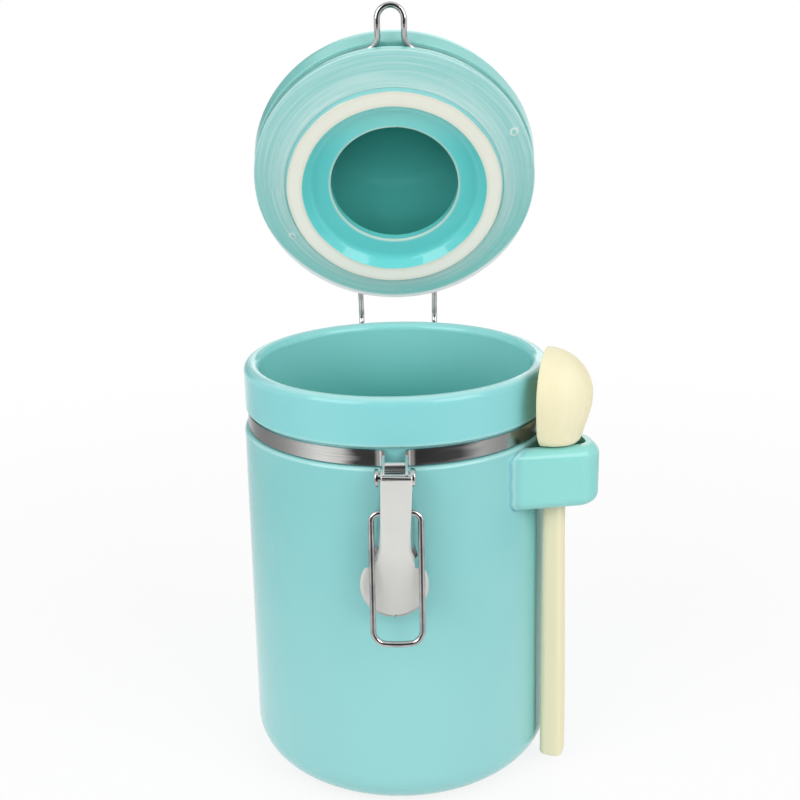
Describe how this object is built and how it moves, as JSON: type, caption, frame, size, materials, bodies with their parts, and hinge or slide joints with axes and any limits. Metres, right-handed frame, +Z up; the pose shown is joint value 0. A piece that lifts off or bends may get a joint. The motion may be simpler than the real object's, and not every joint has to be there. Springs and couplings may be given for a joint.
{
  "type": "clamp-lid canister with spoon",
  "caption": "Glazed ceramic storage jar with a hinged clamp lid held by a wire bail, a front lever latch with a wire loop, and a wooden spoon hanging in a side strap.",
  "frame": {"origin": "middle of the flat base that the jar stands on", "axes": "+Z up along the jar's axis, -Y to the front where the latch is, +Y to the hinge, +X to the side with the spoon"},
  "size_m": [0.1396, 0.1959, 0.3009],
  "materials": {
    "glaze": "gloss",
    "silicone": "satin",
    "band_steel": "brushed",
    "bright_steel": "polished",
    "wood": "satin"
  },
  "bodies": {
    "jar": {"jar": "glaze", "neck_band": "band_steel", "band_spacer": "bright_steel", "lever_pin": "bright_steel", "hinge_bracket": "band_steel"},
    "lid": {"lid": "glaze", "lid_gasket": "silicone", "lid_wire": "bright_steel"},
    "lever": {"latch_lever": "band_steel"},
    "loop": {"latch_loop": "bright_steel"},
    "spoon": {"spoon": "wood"}
  },
  "joints": [
    {"name": "lid_hinge", "type": "hinge", "parent": "jar", "child": "lid", "pos_m": [0, 0.0793, 0.1417], "axis": [1, 0, 0], "range_deg": [0, 66.4]},
    {"name": "lever_pivot", "type": "hinge", "parent": "jar", "child": "lever", "pos_m": [0, -0.067, 0.1401], "axis": [-1, 0, 0], "range_deg": [0, 75]},
    {"name": "loop_pivot", "type": "hinge", "parent": "lever", "child": "loop", "pos_m": [0, -0.0673, 0.127], "axis": [-1, 0, 0], "range_deg": [0, 105]},
    {"name": "spoon_lift", "type": "slide", "parent": "jar", "child": "spoon", "axis": [0, 0, 1], "range_m": [0, 0.12]}
  ]
}
